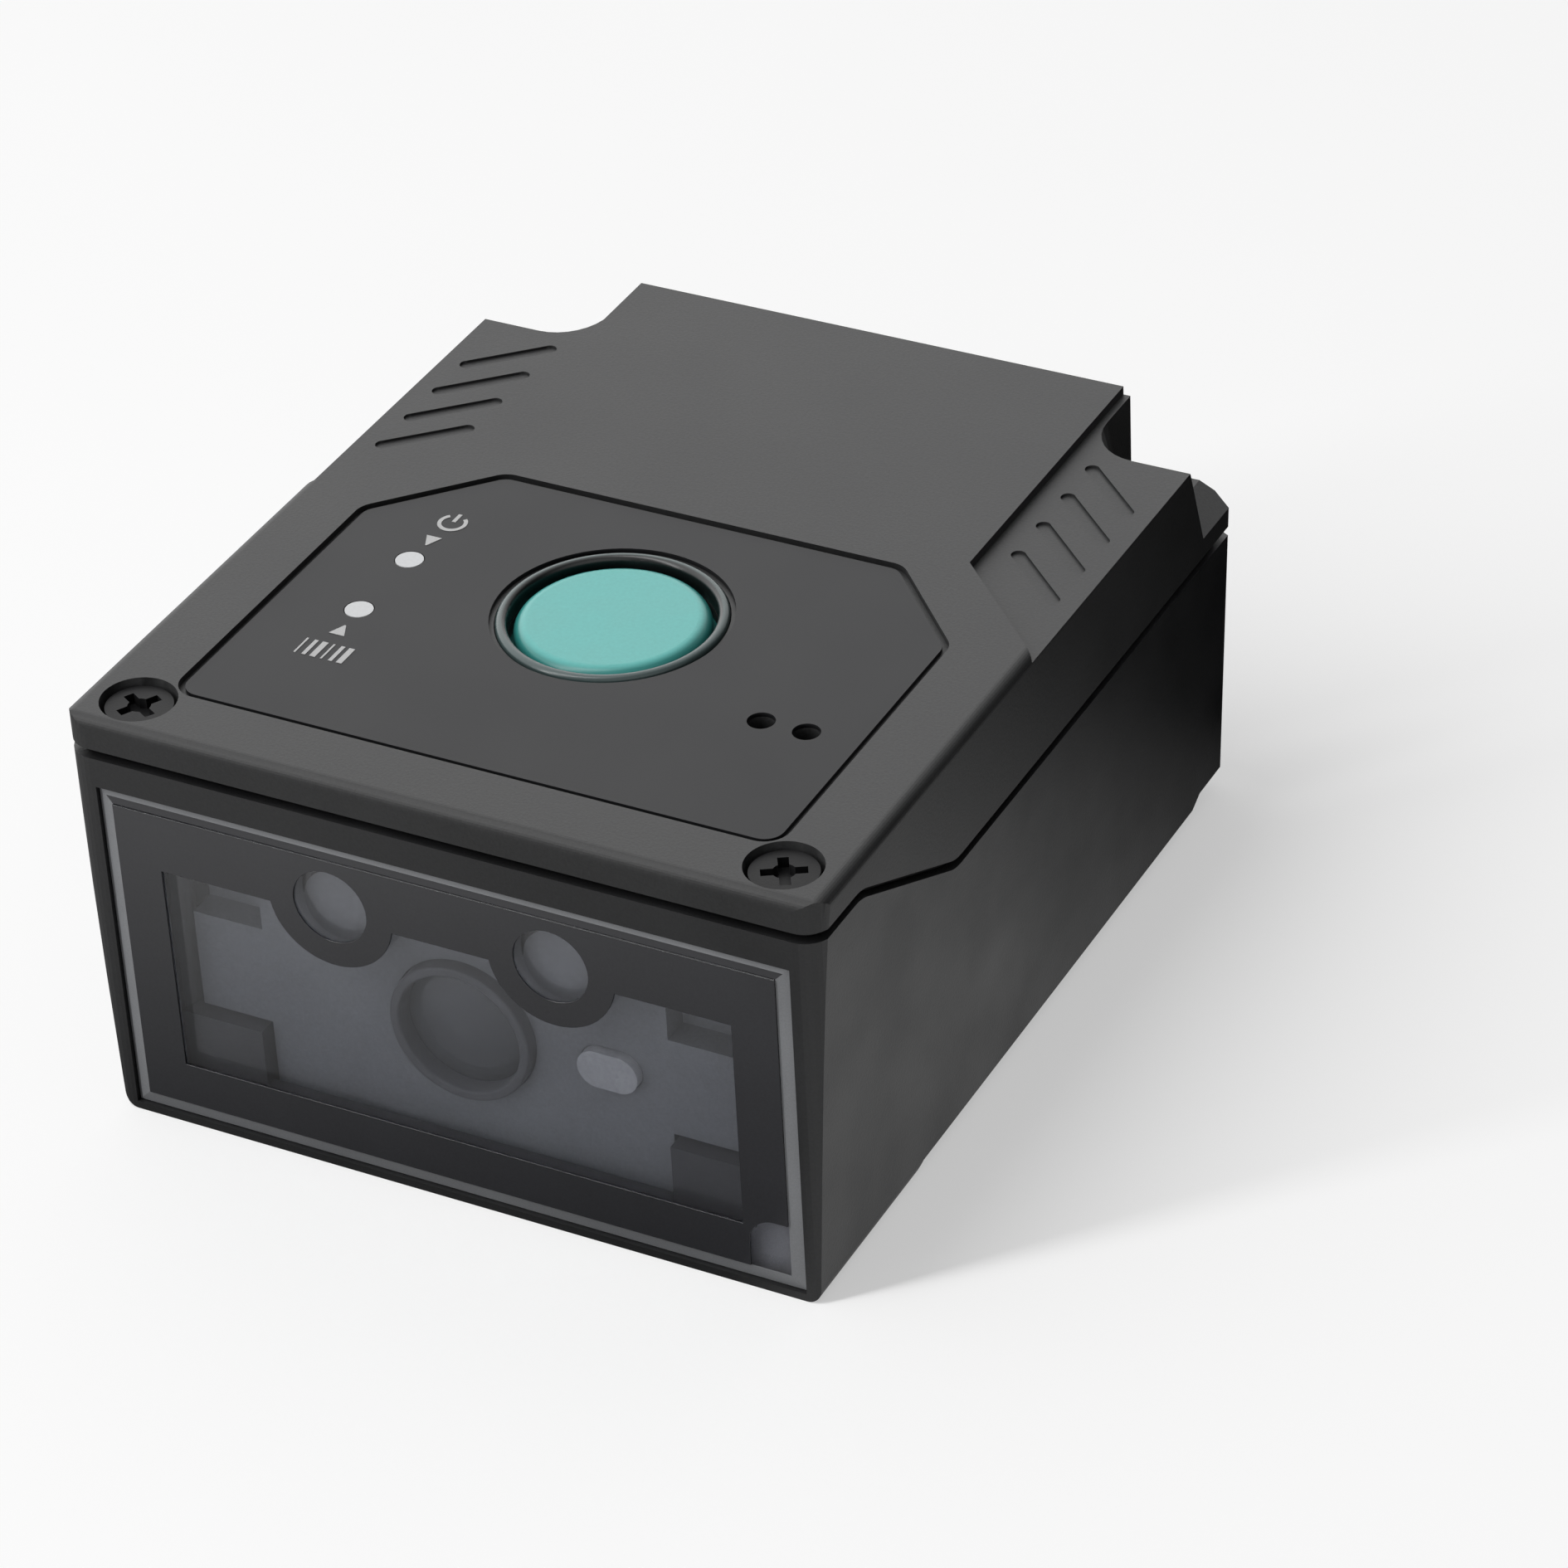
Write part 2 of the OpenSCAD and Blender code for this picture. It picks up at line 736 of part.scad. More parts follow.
// Diagonal grip slots in the right shoulder
module grip_slots() {
  x = half_w - slot_side;
  y = shoulder_y - slot_end - (slot_count - 1) * slot_pitch;
  slab_z(shoulder_z - slot_depth, body_h)
    for (i = [0:slot_count - 1])
      translate([x, y + i * slot_pitch]) obround([0, 0], [-slot_run, slot_run * slot_lean], slot_w);
}

// Outline of the label, grown by grow
module label_outline(grow) {
  x = label_x + grow;
  y0 = label_y - grow;
  y1 = label_rear + grow;
  rx = label_x - label_corner_w + grow * tan(45 - label_lean / 2);
  ys = label_rear - label_corner_l + grow * tan(label_lean / 2);
  r = label_r + grow;
  polygon(round_outline([[-x, y0], [x, y0], [x, ys], [rx, y1], [-rx, y1], [-x, ys]], [r, r, r, r, r, r]));
}

// Holes through the label and the cover for the lights and the sound
module light_holes(grow, z0) {
  for (s = [-1, 1]) post(-light_x, light_c + s * light_pitch / 2, light_d / 2 + grow, z0, body_h + over);
}

module sound_holes(z0) {
  for (s = [-1, 1]) post(sound_x + s * sound_pitch / 2, sound_c, sound_d / 2, z0, body_h + over);
}

// Post under the cover for a key board screw
module key_post_list() {
  for (p = key_posts) both() translate([p[0], p[1], 0]) children();
}

// Hook at the rear of the cover
module cover_hook() {
  wall_y = rear_y - wall;
  y1 = wall_y - hook_fit;
  y0 = y1 - hook_t;
  y2 = y1 + hook_nose;
  base = seam_lo - hook_down;
  catch_z = base + hook_nose_h;
  translate([hook_x, 0, 0]) {
    box([-hook_w / 2, y0, base], [hook_w / 2, y1, seam_lo + hook_up]);
    box([-hook_w / 2, y0, seam_lo + reveal_h], [hook_w / 2, wall_y + hook_root, seam_lo + hook_up]);
    slab_x(-hook_w / 2, hook_w / 2)
      polygon([[y1 - fit, base], [y1, base], [y2, base + hook_nose], [y2, catch_z], [y1 - fit, catch_z]]);
  }
}

// Plug opening and its latch channel, as seen from the rear
module mouth_outline(grow) {
  translate([-mouth_w / 2 - grow, mouth_base - grow]) square([mouth_w + 2 * grow, mouth_h + 2 * grow]);
  translate([-latch_w / 2 - grow, mouth_base - latch_drop - grow])
    square([latch_w + 2 * grow, latch_drop + grow]);
}

// Flat strip along a path in the YZ plane
module strip(a, b, c, d, r) {
  path = [a, each corner_arc(a, b, c, r), each corner_arc(b, c, d, r), d];
  slab_x(-flex_w / 2, flex_w / 2)
    for (i = [1:len(path) - 1]) {
      run = path[i] - path[i - 1];
      translate(path[i - 1]) rotate(atan2(run[1], run[0]))
        translate([0, -flex_t / 2]) square([norm(run), flex_t]);
    }
}

// Small screw with a pan head, head up at the origin
module small_screw(length) {
  translate([0, 0, -length]) cylinder(r = small_screw_r, h = length);
  difference() {
    cylinder(r = small_head_r, h = small_head_h);
    for (a = [0, 90]) rotate(a)
      translate([0, 0, small_head_h]) cube([small_recess_l, small_recess_w, small_head_h], center = true);
  }
}

module top_cover() {
  color(case_grey) difference() {
    union() {
      difference() {
        intersection() {
          body_form();
          above_seam();
        }
        cavity();
        both() rear_notch(0);
      }
      key_post_list() translate([0, 0, key_top]) cylinder(r = key_post_r, h = roof_z + over / 2 - key_top);
      both() cover_hook();
    }
    reveal_cut();
    both() shoulder_cut();
    both() grip_slots();
    slab_z(label_floor, body_h + over) label_outline(label_gap);
    post(0, button_c, bezel_r + fit, bezel_base, body_h);
    post(0, button_c, button_hole_r, roof_z - over, body_h);
    light_holes(fit, roof_z - over);
    sound_holes(roof_z - over);
    both() post(screw_x, screw_y, counterbore_r, counterbore_z, body_h + over);
    both() post(screw_x, screw_y, screw_d / 2 + screw_gap, seam_hi - over, body_h);
    key_post_list() translate([0, 0, key_top - over])
      cylinder(r = small_screw_r + fit, h = small_screw_l + over);
  }
}

module lower_housing() {
  color(housing_grey) difference() {
    union() {
      difference() {
        intersection() {
          body_form();
          below_seam();
        }
        cavity();
        slab_y(front_y - over, cavity_y + over)
          polygon([[-seat_x, seat_base], [seat_x, seat_base], [seat_x, seat_top], [-seat_x, seat_top]]);
      }
      intersection() {
        both() post(screw_x, screw_y, screw_boss_r, wall / 2, seam_hi);
        below_seam();
      }
      both() post(mount_x, mount_c, insert_boss_r, wall / 2, insert_boss_h);
      for (y = standoffs) both() post(standoff_x, y, standoff_r, wall / 2, board_base);
      both() box([lug_x, seat_y + fit, wall / 2], [seat_x + fit, lug_y, lug_top - lug_fit]);
    }
    box([-pane_x - pane_fit, front_y - over, pane_base - pane_fit],
      [pane_x + pane_fit, seat_y, pane_top + pane_fit]);
    both() post(screw_x, screw_y, screw_hole_r, counterbore_z - screw_l - screw_tip_room, body_h);
    both() post(mount_x, mount_c, insert_r + fit / 2, -over, insert_l + insert_tip_room);
    for (y = standoffs)
      both() post(standoff_x, y, small_screw_r + fit, board_top - small_screw_l - small_tip_room, board_top);
    both() pin_y(lug_screw_x, lug_screw_z, small_screw_r + fit, lug_tip - small_tip_room, lug_y + over);
    slab_y(jack_face - over, rear_y + over) mouth_outline(opening_fit);
    both() translate([hook_x, rear_y - wall, seam_lo - hook_down])
      box([-hook_w / 2 - hook_room, -over, -hook_room],
        [hook_w / 2 + hook_room, hook_nose + hook_room, hook_nose_h + hook_room]);
  }
}

module function_label() {
  color(black) difference() {
    slab_z(label_floor, label_floor + label_t) label_outline(0);
    post(0, button_c, label_hole_r, label_floor - over, body_h);
    light_holes(fit, label_floor - over);
    sound_holes(label_floor - over);
  }
}

// Ring around the button with a half-round top
module button_bezel() {
  crown = bezel_w / 2;
  color(bezel_grey) translate([0, button_c, 0]) rotate_extrude() {
    translate([button_hole_r, bezel_base]) square([bezel_w, bezel_top - crown - bezel_base]);
    translate([button_hole_r + crown, bezel_top - crown]) circle(r = crown);
  }
}

module trigger_button() {
  top = body_h - button_sink;
  color(teal) translate([0, button_c, 0]) rotate_extrude() {
    difference() {
      translate([0, flange_top - flange_t]) square([button_r, top - flange_top + flange_t]);
      translate([button_r - button_edge_r, top - button_edge_r]) square(button_edge_r + over);
    }
    intersection() {
      translate([button_r - button_edge_r, top - button_edge_r]) circle(r = button_edge_r);
      translate([0, top - button_edge_r]) square([button_r, button_edge_r]);
    }
    translate([0, flange_top - flange_t]) square([flange_r, flange_t]);
    translate([0, plunger_top]) square([stem_r, stem_l + flange_t]);
  }
}

module switch_plunger() {
  color(black) post(0, button_c, plunger_r, plunger_base, plunger_top);
}

module trigger_switch() {
  color(steel) difference() {
    translate([0, button_c, key_top + switch_h / 2]) cube([switch_w, switch_w, switch_h], center = true);
    post(0, button_c, plunger_r + plunger_gap, key_top + switch_floor, key_top + switch_h + over);
  }
}

module status_light_pipes() {
  color(lamp_clear) for (s = [-1, 1]) {
    y = light_c + s * light_pitch / 2;
    post(-light_x, y, light_d / 2, key_top + status_led_h + pipe_gap, body_h - label_sink);
    post(-light_x, y, pipe_flange_r, roof_z - pipe_flange_t, roof_z);
  }
}

module status_leds() {
  color(led_cream) for (s = [-1, 1])
    translate([-light_x, light_c + s * light_pitch / 2, key_top + status_led_h / 2])
      cube([status_led_w, status_led_w / 2, status_led_h], center = true);
}

module buzzer() {
  color(black) difference() {
    translate([sound_x, sound_c, key_top + buzzer_h / 2]) cube([buzzer_w, buzzer_w, buzzer_h], center = true);
    post(sound_x, sound_c, sound_d / 2, key_top + buzzer_h / 2, key_top + buzzer_h + over);
  }
}

module key_board() {
  color(board_green) difference() {
    box([-key_x, key_front, key_base], [key_x, key_rear, key_top]);
    key_post_list() translate([0, 0, key_base - over]) cylinder(r = board_hole_r, h = key_board_t + 2 * over);
  }
}

module key_board_screws() {
  color(steel) key_post_list() translate([0, 0, key_base]) rotate([180, 0, 0]) small_screw(small_screw_l);
}

module cover_screws() {
  top = body_h - screw_sink;
  color(black) both() difference() {
    union() {
      post(screw_x, screw_y, screw_head_d / 2, counterbore_z, top);
      post(screw_x, screw_y, screw_d / 2, counterbore_z - screw_l, counterbore_z + fit);
    }
    post(screw_x, screw_y, cross_core_r, top - cross_depth, body_h);
    translate([screw_x, screw_y, top - cross_depth]) for (a = [cross_turn, cross_turn + 90])
      rotate(a) translate([-cross_l / 2, -cross_w / 2, 0]) cube([cross_l, cross_w, over]);
  }
}

module window_pane() {
  z0 = pane_base;
  z1 = pane_top;
  b = pane_bevel;
  y0 = pane_y;
  y1 = pane_y + pane_bevel_depth;
  y2 = gasket_y;
  x0 = pane_x - b;
  x1 = pane_x;
  color(smoked) intersection() {
    slab_z(z0, z1) polygon([[-x1, y2], [x1, y2], [x1, y1], [x0, y0], [-x0, y0], [-x1, y1]]);
    slab_x(-x1, x1) polygon([[y2, z0], [y2, z1], [y1, z1], [y0, z1 - b], [y0, z0 + b], [y1, z0]]);
  }
}

// Aperture of the mask with the two lamp rings hanging into it
module mask_view() {
  difference() {
    translate([-view_x, view_base]) square([2 * view_x, view_top - view_base]);
    for (s = [-1, 1]) translate([s * lamp_x, lamp_z]) circle(d = lamp_d + 2 * lamp_ring);
  }
  for (s = [-1, 1]) translate([s * lamp_x, lamp_z]) circle(d = lamp_d);
}

// Cleared corner of the mask with one round corner
module mask_notch() {
  r = mask_notch_w / 2;
  x = pane_x - mask_notch_w;
  z = pane_base + mask_notch_h;
  polygon(round_outline([[x, 0], [pane_x, 0], [pane_x, z], [x, z]], [0, 0, 0, r]));
}

module window_mask() {
  x = pane_x - pane_bevel;
  z = pane_base + pane_bevel;
  color(black) slab_y(front_y, pane_y) difference() {
    translate([-x, z]) square([2 * x, pane_top - pane_bevel - z]);
    mask_view();
    mask_notch();
  }
}

module window_gasket() {
  color(black) slab_y(gasket_y, seat_y) difference() {
    translate([-pane_x, pane_base]) square([2 * pane_x, pane_top - pane_base]);
    translate([-seat_x, seat_base]) square([2 * seat_x, seat_top - seat_base]);
  }
}

// Corner block taken out of the engine frame between two depths
module engine_corner(y0, y1, z0, z1) {
  both() box([lug_x - lug_fit, y0, z0], [engine_x + over, y1, z1]);
}

module engine_frame() {
  color(engine_grey) difference() {
    box([-engine_x, engine_y, engine_base], [engine_x, engine_rear, engine_top]);
    engine_corner(engine_y - over, lug_y, engine_base - over, lug_top);
    engine_corner(lug_y + lug_t, engine_rear + over, engine_base - over, lug_top);
    engine_corner(engine_y - over, engine_y + engine_step_l, engine_step_z, engine_top + over);
    pin_y(0, lens_z, lens_r + fit, engine_y - over, engine_rear);
    translate([-sensor_room / 2, lens_y + barrel_l, lens_z - sensor_room / 2])
      cube([sensor_room, engine_rear - lens_y - barrel_l + over, sensor_room]);
    both() pin_y(lamp_x, lamp_lens_z, lamp_flange_r + fit, engine_y - over, engine_y + lamp_pocket);
    both() pin_y(lamp_x, lamp_lens_z, lamp_tunnel_r, engine_y, engine_rear + over);
    slab_y(engine_y - over, engine_y + aimer_pocket) aimer_outline(fit);
    pin_y(aimer_x, lens_z, aimer_tunnel_r, engine_y, engine_rear + over);
    both() pin_y(lug_screw_x, lug_screw_z, board_hole_r, engine_y, engine_rear);
    both() pin_y(board_screw_x, board_screw_z, small_screw_r + fit, board_screw_tip, engine_rear + over);
    key_post_list() translate([0, 0, key_base - small_head_h - head_room])
      cylinder(r = small_head_r + head_room, h = over);
  }
}

// Outline of the aiming lens, seen from the front
module aimer_outline(grow) {
  x = (aimer_w - aimer_h) / 2;
  obround([aimer_x - x, lens_z], [aimer_x + x, lens_z], aimer_h + 2 * grow);
}

module lens_barrel() {
  color(black) difference() {
    pin_y(0, lens_z, lens_r, lens_y, lens_y + barrel_l);
    pin_y(0, lens_z, glass_r + fit, lens_y - over, lens_y + glass_seat);
    pin_y(0, lens_z, glass_r - glass_rim, lens_y, lens_y + barrel_l + over);
  }
}

module lens_glass() {
  color(smoked) translate([0, lens_y + glass_seat, lens_z]) rotate([90, 0, 0]) rotate_extrude()
    intersection() {
      square([glass_r, glass_seat - glass_sink]);
      translate([0, glass_seat - glass_sink - crown_r]) circle(r = crown_r);
    }
}

module image_sensor() {
  color(black) translate([0, engine_rear - sensor_t / 2, lens_z])
    cube([sensor_w, sensor_t, sensor_w], center = true);
}

module illumination_lenses() {
  seat = engine_y + lamp_pocket;
  color(lamp_clear) both() {
    pin_y(lamp_x, lamp_lens_z, lamp_lens_r, lens_y, seat);
    pin_y(lamp_x, lamp_lens_z, lamp_flange_r, seat - lamp_flange_t, seat);
  }
}

module illumination_leds() {
  color(led_cream) both() translate([lamp_x, engine_rear - lamp_led_h / 2, lamp_lens_z])
    cube([lamp_led_w, lamp_led_h, lamp_led_w], center = true);
}

module aimer_lens() {
  color(lamp_clear) slab_y(engine_y - aimer_front, engine_y + aimer_pocket) aimer_outline(0);
}

module aimer_led() {
  color(led_cream) translate([aimer_x, engine_rear - aimer_led_h / 2, lens_z])
    cube([aimer_led_w, aimer_led_h, aimer_led_w], center = true);
}

module engine_board() {
  color(board_green) difference() {
    box([-engine_x, engine_rear, engine_base + engine_board_lift], [engine_x, engine_board_rear, engine_top]);
    engine_corner(engine_rear - over, engine_board_rear + over, engine_base - over, lug_top);
    both() pin_y(board_screw_x, board_screw_z, board_hole_r, engine_rear - over, engine_board_rear + over);
  }
}

module engine_board_screws() {
  color(steel) both() translate([board_screw_x, engine_board_rear, board_screw_z]) rotate([-90, 0, 0])
    small_screw(small_screw_l);
}

module engine_screws() {
  color(steel) both() translate([lug_screw_x, lug_y + lug_t, lug_screw_z]) rotate([-90, 0, 0])
    small_screw(engine_screw_l);
}

module engine_flex() {
  y0 = engine_board_rear + socket_mid;
  z1 = board_top + socket_mid;
  color(film_amber) strip([y0, engine_socket_z], [y0, z1 + engine_flex_rise], [y0 + engine_flex_out, z1],
    [main_socket_y, z1], flex_bend_r / 2);
}

module key_flex() {
  z0 = key_base - socket_mid;
  z1 = board_top + socket_mid;
  y0 = key_flex_y;
  y1 = y0 + key_flex_out;
  color(film_amber) strip([y0, z0], [y1, z0], [y1, z1], [y0, z1], flex_bend_r);
}

module flex_sockets() {
  w = socket_w;
  color(socket_ivory) {
    box([-w, key_flex_y - socket_l, key_base - socket_h], [w, key_flex_y, key_base]);
    box([-w, key_flex_y - socket_l, board_top], [w, key_flex_y, board_top + socket_h]);
    box([-w, main_socket_y, board_top], [w, main_socket_y + socket_l, board_top + socket_h]);
    box([-w, engine_board_rear, engine_socket_z],
      [w, engine_board_rear + socket_h, engine_socket_z + socket_l]);
  }
}

module main_board() {
  color(board_green) difference() {
    box([-board_x, board_front, board_base], [board_x, board_rear, board_top]);
    both() post(mount_x, mount_c, insert_boss_r + insert_boss_gap, board_base - over, board_top + over);
    for (y = standoffs) both() post(standoff_x, y, board_hole_r, board_base - over, board_top + over);
  }
}

module main_board_screws() {
  color(steel) for (y = standoffs) both() translate([standoff_x, y, board_top]) small_screw(small_screw_l);
}

module decoder_chip() {
  color(black) translate([-chip_x, chip_y, board_top + chip_t / 2])
    cube([decoder_w, decoder_w, chip_t], center = true);
}

module memory_chip() {
  color(black) translate([chip_x, chip_y, board_top + chip_t / 2])
    cube([memory_w, memory_w, chip_t], center = true);
}

module interface_jack() {
  color(black) difference() {
    box([-jack_w / 2, jack_y, board_top], [jack_w / 2, jack_face, board_top + jack_h]);
    slab_y(jack_face - mouth_l, jack_face + over) mouth_outline(0);
  }
}

module jack_contacts() {
  z1 = mouth_base + mouth_h - contact_fit;
  z0 = z1 - contact_drop;
  y0 = jack_face - mouth_l + contact_fit;
  color(gold) for (i = [0:contact_count - 1])
    translate([(i - (contact_count - 1) / 2) * contact_pitch, 0, 0])
      slab_x(-contact_w / 2, contact_w / 2)
        polygon([[y0, z1], [y0 + contact_l, z1], [y0 + contact_tip, z0], [y0, z0]]);
}

module mount_inserts() {
  color(gold) both() difference() {
    post(mount_x, mount_c, insert_r, 0, insert_l);
    post(mount_x, mount_c, insert_bore / 2, -over, insert_l + over);
  }
}

top_cover();
lower_housing();
function_label();
button_bezel();
trigger_button();
switch_plunger();
trigger_switch();
status_light_pipes();
status_leds();
buzzer();
key_board();
key_board_screws();
cover_screws();
window_pane();
window_mask();
window_gasket();
engine_frame();
lens_barrel();
lens_glass();
image_sensor();
illumination_lenses();
illumination_leds();
aimer_lens();
aimer_led();
engine_board();
engine_board_screws();
engine_screws();
engine_flex();
key_flex();
flex_sockets();
main_board();
main_board_screws();
decoder_chip();
memory_chip();
interface_jack();
jack_contacts();
mount_inserts();
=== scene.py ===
"""Looks of the compact fixed barcode reader: materials, printed marks, studio and camera, in metres."""
import json
import math

import bpy
from mathutils import Matrix, Vector

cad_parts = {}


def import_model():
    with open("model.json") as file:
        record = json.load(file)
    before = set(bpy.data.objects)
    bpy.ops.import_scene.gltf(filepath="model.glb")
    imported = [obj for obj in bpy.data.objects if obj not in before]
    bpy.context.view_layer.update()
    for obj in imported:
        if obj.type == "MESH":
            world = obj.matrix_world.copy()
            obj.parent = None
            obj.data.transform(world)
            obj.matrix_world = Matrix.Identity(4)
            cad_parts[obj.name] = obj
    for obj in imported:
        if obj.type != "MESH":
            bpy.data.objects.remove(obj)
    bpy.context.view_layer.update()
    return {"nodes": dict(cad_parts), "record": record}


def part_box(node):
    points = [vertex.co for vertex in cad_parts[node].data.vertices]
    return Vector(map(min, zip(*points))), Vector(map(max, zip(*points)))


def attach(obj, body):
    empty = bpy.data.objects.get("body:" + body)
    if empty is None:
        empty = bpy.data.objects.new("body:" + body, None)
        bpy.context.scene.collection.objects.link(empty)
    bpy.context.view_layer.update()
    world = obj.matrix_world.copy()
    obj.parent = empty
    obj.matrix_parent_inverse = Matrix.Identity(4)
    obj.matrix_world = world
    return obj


MM = 0.001
WHITE = (1.0, 1.0, 1.0, 1.0)

# Camera fitted to the photograph: direction and distance from the middle of the base, and framing
PHOTO_PX = 1890
CAM_AZIMUTH = 28.92
CAM_ELEVATION = 34.26
CAM_ROLL = -3.2
CAM_DISTANCE = 313.29 * MM
CAM_RIGHT = 4.01 * MM
CAM_UP = 8.58 * MM
CAM_FOCAL_PX = 7019.28
CAM_CENTRE_PX = (922.57, 939.73)
CAM_CLIP = 1 * MM
SENSOR_MM = 36.0

# Studio: pale floor, a key lamp from the front left, and soft boxes at the left rear and the front right
FLOOR_HALF = 3.0
FLOOR_DROP = 0.02 * MM
FLOOR_COLOUR = 0.6
FLOOR_GLOW = 0.45
SKY_REACH = (-0.6, 0.9)
SKY_LIGHT = (0.0, 0.54)
SOFTBOX_TOWARDS = (-0.75, 0.4, 0.53)
SOFTBOX_REACH = (0.0, 0.9)
SOFTBOX_LEVEL = (0.02, 2.6)
FILL_TOWARDS = (0.6, -0.7, 0.38)
FILL_REACH = (0.5, 1.0)
FILL_LEVEL = (0.0, 1.3)
KEY_FROM = (-0.66, -0.75, 1.15)
KEY_DISTANCE = 1.0
KEY_SIZE = (0.1, 1.4)
KEY_LEVEL = 2.7

# Painted light and shade in the floor, seen by all but camera rays: darker near the part, to the rear at the
# right, and rightwards in front
RIGHT_X = (15 * MM, 21 * MM)
RIGHT_Y = (4 * MM, 31 * MM)
RIGHT_LEVEL = (1.15, 0.0)
FRONT_Y = (-50 * MM, -26 * MM)
FRONT_LEVEL = (0.75, 0.25)
FRONT_X = (-26 * MM, 12 * MM)
FRONT_SHARE = (1.3, 0.72)
REAR_Y = (28 * MM, 60 * MM)
REAR_LEVEL = (0.0, 0.9)

# Noise: its detail, the spans used of one and of two added, its sizes, and its effect on gloss and floor
GRAIN_DETAIL = 3.0
GRAIN_ROUGHNESS = 0.6
PATCH_DETAIL = 4.0
PATCH_ROUGHNESS = 0.5
PATCH_SPAN = (0.3, 0.7)
BOTH_SPAN = (0.7, 1.3)
PATCH_MM = 6.0
ROUGH_SWING = 0.05
PULP_MM = 40.0
PULP_SHADE = 0.99

# Stripes: their edges in the wave, their relief, the patches in their gloss, and the wave's turn over a unit
STRIPE_EDGE = (0.4, 0.6)
STRIPE_RELIEF_MM = 0.02
STRIPE_PATCH_MM = 5.0
WAVE_TURN = 20

# Edge rounding of the moulded and turned pieces
EDGE = 0.14 * MM
EDGE_SHARE = 0.2
EDGE_ANGLE = 38.0
EDGE_SEGMENTS = 2
WELD = 0.001 * MM

# Nodes whose look differs from the rest of their slot; the aimer lens is paler, a painted highlight
OWN_LOOK = {"aimer_lens": "aimer_painted_highlight"}

# Bevel of the window pane, whose light grey bars are a painted highlight along its edges: shares of its
# width from its inner edge, at the base, right, top and left
PANE_BEVEL = 0.8 * MM
PANE_BEVEL_DEPTH = 0.15 * MM
HIGHLIGHT_FROM = (0.02, 0.02, 0.5, 0.02)
TOP_SIDE = 2
PRINTED_FROM = 0.02
PANE_CLEAR = 0.004 * MM
HIGHLIGHT_LIFT = 0.006 * MM
BAR_FACES = ((0, 1, 3, 2), (4, 6, 7, 5), (0, 4, 5, 1), (2, 3, 7, 6), (0, 2, 6, 4), (1, 5, 7, 3))

# Ring around the button: distances from its outside at which its inner wall is fully painted dark as shade,
# and at which its crown is bright in its own colour
RING_PAINTED_SHADE = 0.42 * MM
RING_BRIGHT = 0.32 * MM

# Button: distances below its face at which the shade painted on its rounded rim is deepest and where that
# starts
RIM_SHADE_DEEPEST = 0.14 * MM
RIM_SHADE_START = 0.01 * MM

# Space behind the window, where paler colour is painted on the housing's walls as light: its middle and half
# its size
CAVITY_MIDDLE = (0, -21.8 * MM, 10.75 * MM)
CAVITY_HALF = (18 * MM, 1.75 * MM, 9.25 * MM)

# Printed marks beside the status lights, in millimetres; the power sign's gap in degrees to each side
PRINT_T = 0.02
STROKE = 0.22
POINTER = 0.9
POINTER_TIP = 0.04
UPPER_POINTER = (-12.1, -3.3)
LOWER_POINTER = (-12.05, -12.5)
POWER_AT = (-11.9, -1.3)
POWER_R = 0.7
POWER_GAP = 40.0
POWER_STROKE_UP = 0.7 * POWER_R
POWER_STROKE_HALF = 0.55 * POWER_R
ARC_STEPS = 24
SCAN_AT = (-11.9, -14.5)
SCAN_HALF = (1.3, 0.7)
SCAN_BARS = 6
SCAN_WIDTHS = 3
SCAN_THIN = STROKE / 4


def material(name):
    """New node material with an empty tree."""
    made = bpy.data.materials.new(name)
    made.use_nodes = True
    made.node_tree.nodes.clear()
    return made


def node(tree, kind, sockets=None, **settings):
    """Adds a shader node, sets its properties, and sets or links its inputs."""
    made = tree.nodes.new("ShaderNode" + kind)
    for key, value in settings.items():
        setattr(made, key, value)
    for key, value in (sockets or {}).items():
        if isinstance(value, bpy.types.NodeSocket):
            tree.links.new(value, made.inputs[key])
        else:
            made.inputs[key].default_value = value
    return made


def maths(tree, operation, a, b):
    """Output of a two-input maths node."""
    return node(tree, "Math", {0: a, 1: b}, operation=operation).outputs[0]


def mix(tree, factor, a, b, kind="FLOAT"):
    """Output of a mix node: a where the factor is 0, b where it is 1."""
    return node(tree, "Mix", {"Factor": factor, "A": a, "B": b}, data_type=kind).outputs["Result"]


def ramp(tree, value, span, levels=(0.0, 1.0)):
    """Value mapped from a span to a pair of levels."""
    return node(tree, "MapRange", {
        "Value": value, "From Min": span[0], "From Max": span[1], "To Min": levels[0], "To Max": levels[1],
    }).outputs["Result"]


def noise(tree, place, size, detail, roughness):
    """Noise whose features are about this many millimetres across."""
    return node(tree, "TexNoise", {
        "Vector": place, "Scale": 1 / (size * MM), "Detail": detail, "Roughness": roughness,
    }).outputs["Fac"]


def patches(tree, place, size):
    """Soft, broad noise."""
    return noise(tree, place, size, PATCH_DETAIL, PATCH_ROUGHNESS)


def uneven(tree, broad, rough, swing):
    """Roughness that follows the soft patches."""
    return ramp(tree, broad, PATCH_SPAN, (rough - swing, rough + swing))


def relief(tree, height, depth):
    """Normal of a bump this many millimetres deep."""
    return node(tree, "Bump", {"Height": height, "Distance": depth * MM}).outputs["Normal"]


def own_place(tree):
    """Place in the part's own frame."""
    return node(tree, "TexCoord").outputs["Object"]


def shade(colour, factor=1.0):
    """Colour made lighter or darker, with alpha."""
    return tuple(min(1.0, c * factor) for c in colour) + (1.0,)


